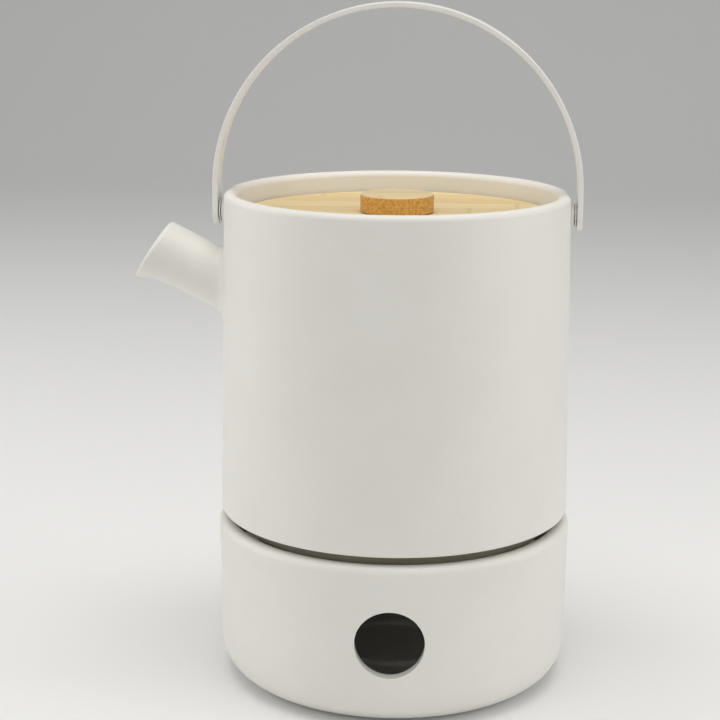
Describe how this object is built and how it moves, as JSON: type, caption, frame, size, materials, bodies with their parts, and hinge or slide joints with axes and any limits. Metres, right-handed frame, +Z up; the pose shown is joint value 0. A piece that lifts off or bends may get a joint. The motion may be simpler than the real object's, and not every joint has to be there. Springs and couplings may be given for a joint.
{
  "type": "ceramic teapot on a tea light warmer",
  "caption": "Cylindrical white ceramic teapot with a short spout, recessed bamboo lid, steel strip bail handle and strainer, standing on a round ceramic tea light warmer.",
  "frame": {"origin": "centre of the warmer's flat underside, on the surface that it stands on", "axes": "+Z up, -X along the spout, the handle's pivot axis parallel to X, the warmer's window towards -Y"},
  "size_m": [0.1717, 0.1376, 0.2607],
  "materials": {
    "white_ceramic": "matt glaze",
    "white_paint": "fine powder coat",
    "stainless_steel": "satin",
    "bamboo": "oiled laminated bamboo",
    "dark_bamboo": "end grain bamboo, oiled",
    "silicone": "matt, translucent white",
    "nylon": "matt"
  },
  "bodies": {
    "warmer": {"warmer": "white_ceramic"},
    "pot": {"pot_body": "white_ceramic", "pot_spout": "white_ceramic", "pin_bush_left": "nylon", "pin_bush_right": "nylon", "handle_washer_left": "nylon", "handle_washer_right": "nylon"},
    "handle": {"handle_strip": "white_paint", "handle_pin_left": "stainless_steel", "handle_pin_right": "stainless_steel"},
    "strainer": {"strainer_collar": "stainless_steel", "strainer_sleeve": "stainless_steel", "strainer_floor": "stainless_steel"},
    "lid": {"lid_disc": "bamboo", "lid_seal": "silicone", "lid_knob": "dark_bamboo", "lid_washer": "stainless_steel", "lid_screw": "stainless_steel"}
  },
  "joints": [
    {"name": "pot_lift", "type": "slide", "parent": "warmer", "child": "pot", "axis": [0, 0, 1], "range_m": [0, 0.09]},
    {"name": "handle_swing", "type": "hinge", "parent": "pot", "child": "handle", "pos_m": [0, 0, 0.182], "axis": [1, 0, 0], "range_deg": [-110, 110]},
    {"name": "strainer_lift", "type": "slide", "parent": "pot", "child": "strainer", "axis": [0, 0, 1], "range_m": [0, 0.028]},
    {"name": "lid_lift", "type": "slide", "parent": "strainer", "child": "lid", "axis": [0, 0, 1], "range_m": [0, 0.011]}
  ]
}
